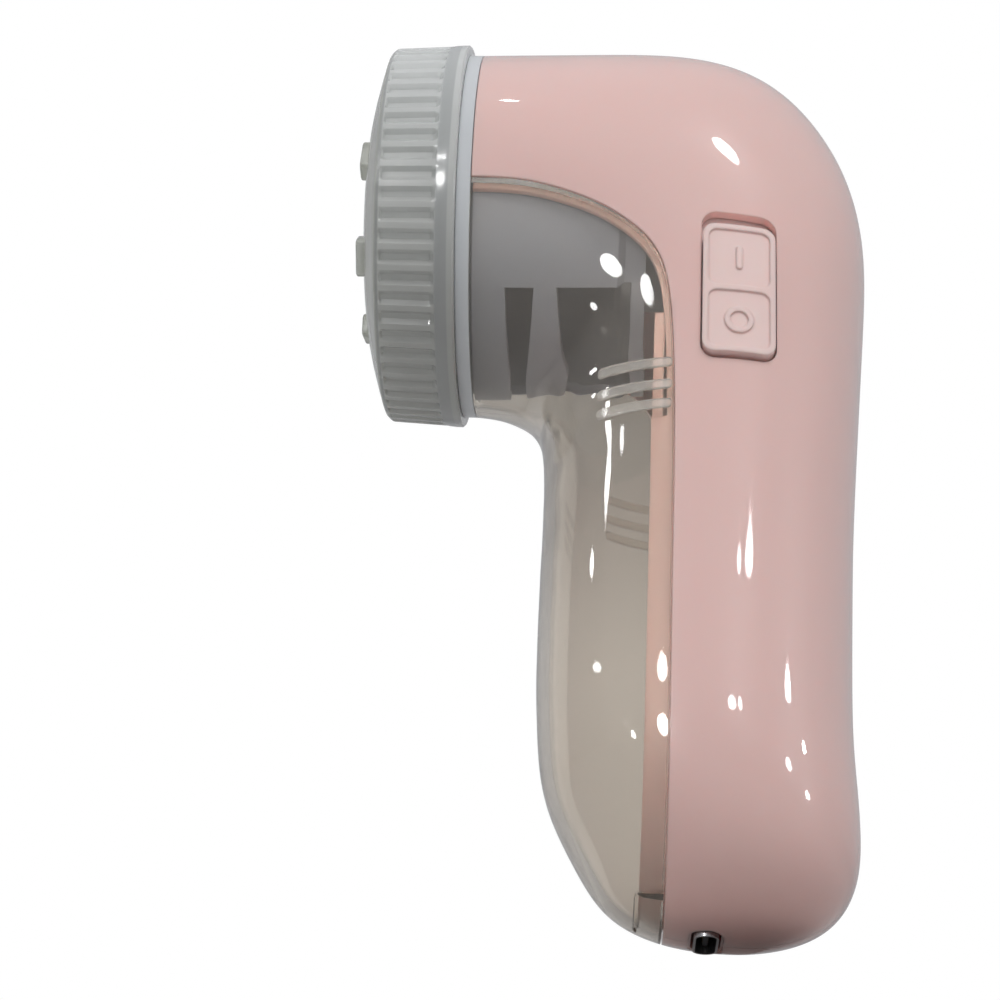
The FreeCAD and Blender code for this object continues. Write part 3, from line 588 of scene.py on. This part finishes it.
PINK = srgb(243, 205, 199)
M = {
    # pink_gloss: inner is a painted shade colour for the lip and partition behind the clear bin
    "pink_gloss": plastic("pink_gloss", PINK, srgb(242, 203, 197), rough=(0.28, 0.33), coat=0.9, coat_rough=0.025, sss=0.25,
                          bump=0.006, edge=0.0004, grain=260.0, spec=0.35, inner=srgb(211, 180, 178)),
    "pink_pad": plastic("pink_pad", srgb(251, 223, 218), srgb(250, 219, 214), rough=(0.28, 0.33), coat=0.7, coat_rough=0.06, sss=0.25,
                        bump=0.006, edge=0.0005, grain=260.0, spec=0.4),
    "clear_smoke": clear("clear_smoke", srgb(253, 248, 240), rough=0.02, milk=0.09, milk_col=srgb(206, 198, 190), bump=0.03, grain=40.0,
                         shade=0.80),
    "milky_clear": cap_plastic(),
    "ring_grey": plastic("ring_grey", srgb(222, 226, 230), srgb(216, 221, 226), rough=(0.28, 0.34), coat=0.4, sss=0.4,
                         sss_r=(1.0, 1.0, 1.0), bump=0.02, edge=0.0002),
    "grip_haze": clear("grip_haze", srgb(250, 248, 244), rough=0.10, milk=0.27, milk_col=srgb(214, 210, 204), bump=0.02, grain=40.0),
    "grey_plastic": plastic("grey_plastic", srgb(168, 178, 196), rough=(0.35, 0.45), bump=0.03, edge=0.0002),
    "steel": metal("steel", srgb(205, 206, 208), (0.27, 0.34), bump=0.03),
    "zinc_steel": metal("zinc_steel", srgb(185, 187, 190), (0.28, 0.42)),
    "white_plastic": plastic("white_plastic", srgb(232, 231, 226), rough=(0.35, 0.45), sss=0.2, edge=0.0001),
    "black_plastic": plastic("black_plastic", srgb(34, 34, 36), rough=(0.35, 0.5)),
    "magnet": plastic("magnet", srgb(52, 52, 55), rough=(0.5, 0.65), bump=0.15),
    "laminations": metal("laminations", srgb(140, 142, 146), (0.3, 0.5), stretch=(12, 1, 1), bump=0.3),
    "copper": metal("copper", srgb(196, 112, 66), (0.27, 0.38), stretch=(1, 6, 6), bump=0.35),
    "brass": metal("brass", srgb(205, 170, 95), (0.27, 0.38)),
    "gold": metal("gold", srgb(228, 190, 98), (0.16, 0.22)),
    "board_green": plastic("board_green", srgb(44, 56, 52), srgb(52, 64, 59), rough=(0.28, 0.4), coat=0.3, bump=0.05),
    "cell_wrap": plastic("cell_wrap", srgb(38, 98, 180), srgb(32, 88, 166), rough=(0.28, 0.36), coat=0.3),
    "foam": plastic("foam", srgb(42, 42, 44), srgb(30, 30, 32), rough=(0.85, 0.95), bump=0.8, grain=1500.0),
    "lead_red": plastic("lead_red", srgb(176, 26, 22), rough=(0.4, 0.5)),
    "ceramic_chip": plastic("ceramic_chip", srgb(186, 150, 112), rough=(0.4, 0.55)),
    "light_lens": clear("light_lens", srgb(244, 244, 232), rough=0.3, milk=0.6, milk_col=srgb(235, 236, 222)),
}
slots = {s["node"]: s["material_slot"] for s in frame["record"]["subparts"]}
for n, o in nodes.items():
    o.data.materials.clear()
    o.data.materials.append(M[slots[n]])
    smooth(o, 28.0)

# --------------------------------------------------------------- the housing
outer = skin("outer", 0.0)
inner = skin("inner", WALL, front=-23.0)
shell = cut(copy(outer, "shell"), inner, keep=True)

hb = common(copy(shell, "hb"), seam_block("s1", 0.0, +1))
lip = cut(skin("lip", WALL + 0.15, front=-20.2), skin("lipin", WALL + 0.95, front=-23.0))
lip = common(lip, seam_block("s2", -3.0, +1))
lip = cut(lip, seam_block("s3", 4.0, +1))
lip = common(lip, join(seam_block("s3b", -0.9, +1), box("lpb", -60, 60, -60, 60, -130, -42.0)))
bridge = cut(copy(inner, "bridge"), skin("lipin2", WALL + 0.94, front=-24.0))
bridge = common(bridge, seam_block("s4", 0.6, +1))
bridge = cut(bridge, seam_block("s5", 3.9, +1))
bridge = common(bridge, box("bb", -20.2, 60, -45, 45, -120, 50))
part = common(skin("pt", WALL + 0.5, front=-23.0), box("pb", 5.9, 7.3, -40, 40, -104.4, -26.0))
hb = join(hb, bridge)
hb = join(hb, lip)
hb = join(hb, part)
for sx, sz in ((20.0, 18.6), (28.5, -38.2), (24.5, -101.3)):
    b = common(cyl("boss", "y", 3.7, -40, 40, sx, sz), copy(inner, "ic"))
    hb = join(hb, b)
for sx, sz in ((20.0, 18.6), (28.5, -38.2), (24.5, -101.3)):
    hb = cut(hb, cyl("h1", "y", 1.10, -9.0, 30.0, sx, sz))
    hb = cut(hb, cyl("h2", "y", 2.60, 6.0, 40.0, sx, sz, 64))
hb = cut(hb, rounded_y("win", 12.0, 22.45, -33.9, -11.0, -40, -15, 2.2))
hb = cut(hb, common(rounded_y("rel", 10.3, 23.95, -36.3, -8.2, -30, -16.0, 1.0), copy(inner, "ic2")))
port = []
for k in range(64):
    a = 2 * math.pi * k / 64
    px, py = 1.95 * math.cos(a), 1.95 * math.sin(a)
    port.append((14.35 + px, py + (2.84 if py >= 0 else -2.84)))
pv = [(x, y, -112.0) for x, y in port] + [(x, y, -100.0) for x, y in port]
pf = [(i, (i + 1) % 64, 64 + (i + 1) % 64, 64 + i) for i in range(64)] + [tuple(range(63, -1, -1)), tuple(range(64, 128))]
hb = cut(hb, mesh_from("port", np.array(pv, float), pf))
pv = [(14.35 + (x - 14.35) * 1.16, y * 1.10, z + (0 if z < -110 else -7.75)) for x, y, z in pv]
hb = cut(hb, mesh_from("mouth", np.array(pv, float), pf))
left = common(copy(hb, "housing_left_skin"), box("lb", -60, 60, -60, -0.03, -130, 60))
right = common(hb, box("rb", -60, 60, 0.03, 60, -130, 60))
right.name = "housing_right_skin"

# -------------------------------------------------------------- the lint bin
bin_ = common(shell, seam_block("s6", -0.2, -1))
bin_.name = "lint_bin_clear"
g = None
for zc in (-34.7, -38.0, -40.9):
    for s in (-1, 1):
        y0, y1 = (-30, -15) if s < 0 else (15, 30)
        b = rounded_y("g", -1.8, 8.3, zc - 0.6, zc + 0.6, y0, y1, 0.58)
        g = b if g is None else join(g, b)
g = common(g, skin("ridge", -0.62))
ridges = cut(g, skin("ridgein", -0.015, front=-23.0))
ridges.name = "lint_bin_ridges"
# bead along the seam edge
bead = cut(skin("bead", -0.14), skin("beadin", 0.4, front=-23.0))
bead = cut(common(bead, seam_block("s7", -0.2, -1)), seam_block("s8", -0.75, -1))
bead = common(bead, box("bx", -16.5, 30, -45, 45, -104.0, -21.0))
bin_ = join(bin_, bead)
# finger catch at the foot of the bin: a cross slit and a shallow line down from it
bin_ = cut(bin_, rounded_y("nt", 5.2, 12.0, -104.95, -104.4, -30, -9.0, 0.25))
bin_ = cut(bin_, cut(rounded_y("nt2", 5.0, 5.35, -111.0, -104.4, -30, 3.0, 0.12), skin("ntin", 0.5, front=-23.0)))

# ---------------------------------------------------------- the power button
KX0, KX1, KZ0, KZ1 = 12.20, 22.25, -33.30, -13.50
ctr, midx = 0.5 * (KZ0 + KZ1), 0.5 * (KX0 + KX1)
under = skin("under", WALL + 1.25, front=-23.0)
pad = cut(common(skin("pad", -1.0), rounded_y("pb", KX0, KX1, KZ0, KZ1, -30, -15.0, 1.7)), under, keep=True)
dish = join(rounded_y("d1", KX0 + 0.8, KX1 - 0.8, ctr + 0.42, KZ1 - 0.8, -30, -18, 1.2),
            rounded_y("d2", KX0 + 0.8, KX1 - 0.8, KZ0 + 0.8, ctr - 0.42, -30, -18, 1.2))
dish = cut(dish, rounded_y("m1", midx - 0.45, midx + 0.45, ctr + 3.0, ctr + 6.6, -31, -17, 0.4))
dish = cut(dish, cut(cyl("m2", "y", 2.0, -31, -17, midx, ctr - 4.9), cyl("m3", "y", 1.25, -32, -16, midx, ctr - 4.9)))
dish = cut(dish, skin("dishfloor", -0.7))
pad = cut(pad, dish)
plate = cut(skin("plate", WALL + 0.25, front=-23.0), under)
plate = common(plate, box("pbx", KX0 - 1.6, KX1 + 1.4, -30, -10, KZ0 - 2.7, KZ1 + 3.0))
button = join(pad, plate)
for za, zb in ((-27.4, -26.15), (-24.05, -22.8)):
    button = join(button, box("fk", 12.5, 17.3, -21.5, -14.2, za, zb))
button.name = "power_button_pad"

# ------------------------------------------------------------------ the cap
def cap_mesh():
    outer_p = [(-22.50, 27.20), (-22.50, 28.55), (-22.75, 28.80), (-23.6, 28.79), (-24.6, 28.70), (-25.0, 28.62)]
    side = [(x, None) for x in np.linspace(-25.3, -33.25, 26)]
    prof = outer_p + side
    front = [(-33.6, 27.95), (-33.95, 27.60), (-34.13, 27.10), (-34.28, 26.50), (-34.6, 25.6), (-35.03, 24.1), (-35.58, 22.2),
             (-36.13, 19.9), (-36.57, 17.2), (-36.87, 14.2), (-37.05, 11.0), (-37.14, 7.5), (-37.19, 4.0), (-37.2, 1.0)]
    inner_p = [(-35.7, 1.0), (-35.68, 5.0), (-35.58, 9.0), (-35.35, 14.0), (-35.0, 17.5), (-34.6, 20.0), (-33.95, 23.0),
               (-33.3, 25.0), (-33.0, 25.8), (-32.65, 26.3), (-31.9, 26.6), (-29.0, 26.75), (-26.3, 26.9), (-26.0, 26.3),
               (-25.8, 25.75), (-25.6, 25.68), (-24.8, 25.68), (-24.6, 25.75), (-24.4, 26.6), (-24.1, 27.15), (-23.2, 27.20)]
    n = 60 * 14
    th = np.linspace(0, 2 * math.pi, n, endpoint=False)
    wave = np.clip(1.6 * np.cos(60 * th), -1, 1) * 0.5 + 0.5     # 1 on a rib, 0 in a groove
    rows = []
    for x, r in outer_p:
        rows.append((x, np.full(n, r)))
    for x, _ in side:
        base = 28.62 + (28.20 - 28.62) * (x + 25.0) / (-33.25 + 25.0)
        u = min(1.0, max(0.0, (-25.3 - x) / 0.55)) * min(1.0, max(0.0, (x + 33.4) / 0.5))
        u = u * u * (3 - 2 * u)
        rows.append((x, base - 0.62 * u * (1 - wave)))
    for x, r in front:
        rows.append((x, np.full(n, r)))
    for x, r in inner_p:
        rows.append((x, np.full(n, r)))
    v, f = [], []
    for x, r in rows:
        v.append(np.stack([np.full(n, x), r * np.cos(th), r * np.sin(th)], 1))
    m = len(rows)
    v = np.concatenate(v)
    nf = len(outer_p) + len(side) + len(front)
    for k in range(m):
        if k == nf - 1:
            continue
        a, b = k * n, ((k + 1) % m) * n
        for i in range(n):
            j = (i + 1) % n
            f.append((a + i, a + j, b + j, b + i))
    c = len(v)
    v = np.concatenate([v, [[-37.2, 0, 0]], [[-35.7, 0, 0]]])
    a, b = (nf - 1) * n, nf * n
    for i in range(n):
        j = (i + 1) % n
        f.append((a + i, a + j, c))
        f.append((b + j, b + i, c + 1))
    return mesh_from("cap_shell", v, f)


cap = cap_mesh()
for k in range(6):
    ang = math.radians(90.0 - 15.2 + 60.0 * k)
    pts = rrect(-2.8, 2.8, -1.7, 1.7, 0.7, 6)
    v, lev = [], ((-35.9, 0.0), (-37.55, 0.0), (-37.75, 0.1), (-37.85, 0.3))
    for x, ins in lev:
        for (py, pz) in pts:
            sy, sz = 1 - ins / 2.8, 1 - ins / 1.7
            y, z = py * sy, pz * sz + 14.7
            v.append((x, y * math.cos(ang) - z * math.sin(ang), y * math.sin(ang) + z * math.cos(ang)))
    n = len(pts)
    f = []
    for l in range(3):
        f += [(l * n + i, l * n + (i + 1) % n, (l + 1) * n + (i + 1) % n, (l + 1) * n + i) for i in range(n)]
    f += [tuple(range(n - 1, -1, -1)), tuple(range(3 * n, 4 * n))]
    cap = join(cap, mesh_from("tab", np.array(v, float), f))
cap.name = "protective_cap_ribbed"

drop(outer)
drop(inner)

# ------------------------------------------------- finish and place the pieces
for o, body, node, sl in ((left, "housing", "housing_left", "pink_gloss"), (right, "housing", "housing_right", "pink_gloss"),
                          (bin_, "bin", "lint_bin", "clear_smoke"), (ridges, "bin", "lint_bin", "clear_smoke"), (button, "power_slide", "power_button", "pink_gloss"),
                          (cap, "cap", "protective_cap", "milky_clear")):
    tidy(o)
    smooth(o, 30.0)
    o.data.materials.clear()
    o.data.materials.append(M["pink_pad" if node == "power_button" else "grip_haze" if o is ridges else sl])
    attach(o, body)
    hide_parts(node)

# ------------------------------------------------------ floor, light, camera
def floor_mat():
    m = bpy.data.materials.new("floor")
    m.use_nodes = True
    nt = m.node_tree
    nt.nodes.clear()
    out = nt.nodes.new("ShaderNodeOutputMaterial")
    d = nt.nodes.new("ShaderNodeBsdfDiffuse")
    N = Nodes(nt)
    lp = nt.nodes.new("ShaderNodeLightPath")
    near = N.mixcol(N.noise(9.0, 3.0), (0.53, 0.53, 0.525), (0.57, 0.57, 0.565))
    seen = N.mixcol(N.noise(9.0, 3.0), (0.84, 0.84, 0.835), (0.88, 0.88, 0.875))
    nt.links.new(N.mixcol(lp.outputs["Is Camera Ray"], near, seen), d.inputs["Color"])
    ln = nt.nodes.new("ShaderNodeVectorMath")
    ln.operation = "LENGTH"
    nt.links.new(N.coords(), ln.inputs[0])
    fade = N.math("MULTIPLY", N.remap(ln.outputs["Value"], 0.0, 1.0, 0.16, 0.75), lp.outputs["Is Camera Ray"])
    unseen = N.math("SUBTRACT", 1.0, lp.outputs["Is Camera Ray"])
    glow = N.math("MULTIPLY", N.remap(ln.outputs["Value"], 0.11, 0.0, 0.010, 0.035), unseen)
    fade = N.math("ADD", fade, glow)
    em = nt.nodes.new("ShaderNodeEmission")
    em.inputs["Color"].default_value = (1.0, 1.0, 1.0, 1.0)
    em.inputs["Strength"].default_value = 0.97
    lit = nt.nodes.new("ShaderNodeMixShader")
    nt.links.new(fade, lit.inputs[0])
    nt.links.new(d.outputs[0], lit.inputs[1])
    nt.links.new(em.outputs[0], lit.inputs[2])
    tr = nt.nodes.new("ShaderNodeBsdfTransparent")
    g = nt.nodes.new("ShaderNodeNewGeometry")
    mx = nt.nodes.new("ShaderNodeMixShader")
    nt.links.new(g.outputs["Backfacing"], mx.inputs[0])
    nt.links.new(lit.outputs[0], mx.inputs[1])
    nt.links.new(tr.outputs[0], mx.inputs[2])
    nt.links.new(mx.outputs[0], out.inputs["Surface"])
    return m


fl = mesh_from("floor", np.array([(-4, -4, -0.0006), (4, -4, -0.0006), (4, 4, -0.0006), (-4, 4, -0.0006)], float), [(0, 1, 2, 3)], scale=False)
fl.data.materials.append(floor_mat())
for p in fl.data.polygons:
    if p.normal.z < 0:
        fl.data.flip_normals()
        break

W = bpy.data.worlds.new("studio")
bpy.context.scene.world = W
W.use_nodes = True
wn = W.node_tree.nodes
wl = W.node_tree.links
wn.clear()
wo = wn.new("ShaderNodeOutputWorld")
bg1 = wn.new("ShaderNodeBackground")
bg1.inputs["Color"].default_value = (1.0, 1.0, 1.0, 1)
bg1.inputs["Strength"].default_value = 1.0
bg2 = wn.new("ShaderNodeBackground")
bg2.inputs["Color"].default_value = (0.96, 0.97, 1.0, 1)
wt = wn.new("ShaderNodeTexCoord")
wz = wn.new("ShaderNodeSeparateXYZ")
wr = wn.new("ShaderNodeMapRange")
wr.interpolation_type = "SMOOTHSTEP"
wr.inputs["From Min"].default_value = -0.6
wr.inputs["From Max"].default_value = 0.5
wr.inputs["To Min"].default_value = 0.08
wr.inputs["To Max"].default_value = 0.47
wl.new(wt.outputs["Generated"], wz.inputs[0])
wl.new(wz.outputs["Z"], wr.inputs["Value"])
wl.new(wr.outputs["Result"], bg2.inputs["Strength"])
lp = wn.new("ShaderNodeLightPath")
bg3 = wn.new("ShaderNodeBackground")
bg3.inputs["Color"].default_value = (0.98, 0.97, 0.96, 1)
wq = wn.new("ShaderNodeMapRange")
wq.interpolation_type = "SMOOTHSTEP"
wq.inputs["From Min"].default_value = 0.37
wq.inputs["From Max"].default_value = 0.48
wq.inputs["To Min"].default_value = 0.50
wq.inputs["To Max"].default_value = 0.25
wl.new(wz.outputs["Z"], wq.inputs["Value"])
wl.new(wq.outputs["Result"], bg3.inputs["Strength"])
mt = wn.new("ShaderNodeMixShader")
wl.new(lp.outputs["Is Transmission Ray"], mt.inputs[0])
wl.new(bg2.outputs[0], mt.inputs[1])
wl.new(bg3.outputs[0], mt.inputs[2])
mx = wn.new("ShaderNodeMixShader")
wl.new(lp.outputs["Is Camera Ray"], mx.inputs[0])
wl.new(mt.outputs[0], mx.inputs[1])
wl.new(bg1.outputs[0], mx.inputs[2])
wl.new(mx.outputs[0], wo.inputs["Surface"])

centre = Vector(R((0.0, 0.0, -40.0)))


def area(name, loc, size, power, target=centre, col=(1, 1, 1)):
    d = bpy.data.lights.new(name, "AREA")
    d.shape = "RECTANGLE"
    d.size, d.size_y = size
    d.energy = power
    d.color = col
    o = bpy.data.objects.new(name, d)
    bpy.context.scene.collection.objects.link(o)
    o.location = loc
    o.rotation_mode = "QUATERNION"
    o.rotation_quaternion = (Vector(loc) - target).to_track_quat("Z", "Y")
    o.visible_glossy = False
    return o


def glint(loc, at, wx, wy, xdir, glow=30.0):
    """Small bright lamp that only shows as a highlight in the glossy plastic."""
    d = bpy.data.lights.new("glint", "AREA")
    d.shape = "ELLIPSE"
    d.size, d.size_y = wx, wy
    d.energy = glow * math.pi * wx * wy * math.pi / 4
    o = bpy.data.objects.new("glint", d)
    bpy.context.scene.collection.objects.link(o)
    z = (Vector(loc) - Vector(at)).normalized()
    x = Vector(xdir)
    x = (x - x.dot(z) * z).normalized()
    m = Matrix((x, z.cross(x), z)).transposed().to_4x4()
    m.translation = Vector(loc)
    o.matrix_world = m
    o.visible_diffuse = False
    o.visible_transmission = False
    return o


area("key", (0.14, -0.62, 0.55), (0.35, 0.4), 2.3, col=(1.0, 0.985, 0.97))
area("fill", (-0.7, -0.5, 0.30), (0.5, 0.6), 0.36, col=(1.0, 0.97, 0.93))
area("low", (0.15, -0.6, -0.35), (0.6, 0.4), 0.04)
area("back", (0.3, 0.7, 0.5), (0.6, 0.6), 1.0, col=(0.96, 0.97, 1.0))
area("top", (-0.16, -0.04, 0.9), (0.5, 0.5), 0.92)
for g in (((0.3600, -0.5450, 0.7450), (0.0152, -0.0235, 0.1126), 0.075, 0.085, (0.535, 0.824, 0.187)),
          ((0.4455, -0.729, 0.404), (0.0188, -0.0221, 0.0459), 0.084, 0.022, (0.857, 0.515, -0.005)),
          ((0.3523, -0.7776, 0.4022), (0.0175, -0.0224, 0.0452), 0.038, 0.015, (0.913, 0.407, -0.007)),
          ((0.7729, -0.3881, 0.3643), (0.0239, -0.0198, 0.0276), 0.087, 0.019, (0.431, 0.902, 0.025)),
          ((0.2847, -0.8389, 0.2917), (0.0167, -0.0222, 0.025), 0.078, 0.041, (0.933, 0.344, 0.11)),
          ((0.3609, -0.8079, 0.2982), (0.0177, -0.022, 0.025), 0.041, 0.034, (0.895, 0.434, 0.109)),
          ((0.7583, -0.5096, 0.1924), (0.0237, -0.0196, 0.0184), 0.075, 0.06, (0.506, 0.837, 0.21)),
          ((0.8497, -0.2439, 0.3049), (0.0258, -0.0185, 0.0215), 0.067, 0.034, (0.218, 0.967, 0.135)),
          ((0.8711, -0.3103, 0.117), (0.0261, -0.0178, 0.0152), 0.080, 0.05, (0.281, 0.913, 0.296)),
          ((-0.3116, -0.8664, 0.1371), (-0.0003, -0.0233, 0.0888), 0.13, 0.13, (0.405, -0.104, 0.908)),
          ((-0.6196, -0.6759, 0.0645), (-0.0025, -0.021, 0.0835), 0.054, 0.063, (0.481, -0.476, 0.736)),
          ((-0.7458, -0.3266, 0.4564), (0.0001, -0.0196, 0.0572), 0.073, 0.050, (0.372, -0.928, -0.016)),
          ((-0.663, -0.4675, 0.4736), (0.0019, -0.0208, 0.0633), 0.049, 0.010, (0.542, -0.839, -0.039)),
          ((-0.809, -0.16, 0.4162), (-0.0017, -0.0182, 0.0445), 0.063, 0.019, (0.156, -0.987, -0.036)),
          ((-0.8124, -0.273, 0.3252), (-0.0007, -0.0187, 0.0312), 0.12, 0.012, (0.295, -0.955, -0.005)),
          ((-0.2718, -0.822, 0.3329), (0.0077, -0.0222, 0.0294), 0.11, 0.05, (0.948, -0.315, 0.041)),
          ((-0.05, -0.47, 0.95), (-0.03, -0.02, 0.125), 0.03, 0.03, (1.0, 0.0, 0.0))):
    glint(*g)

cd = bpy.data.cameras.new("camera")
cam = bpy.data.objects.new("camera", cd)
bpy.context.scene.collection.objects.link(cam)
az, el, roll = math.radians(3.795), math.radians(-26.64), math.radians(3.205)
back = Vector((math.sin(az) * math.cos(el), -math.cos(az) * math.cos(el), math.sin(el)))
right_ = (-back).cross(Vector((0, 0, 1))).normalized()
up = right_.cross(-back).normalized()
r2 = right_ * math.cos(roll) + up * math.sin(roll)
u2 = -right_ * math.sin(roll) + up * math.cos(roll)
loc = Vector(R((-15.557, 0.0, -44.491))) + back * 0.319155
mw = Matrix((r2, u2, back)).transposed().to_4x4()
mw.translation = loc
cam.matrix_world = mw
cd.sensor_width = 36.0
cd.lens = 2.227 * 36.0
cd.clip_start, cd.clip_end = 0.005, 20.0
bpy.context.scene.camera = cam
bpy.context.scene.view_settings.view_transform = "Standard"
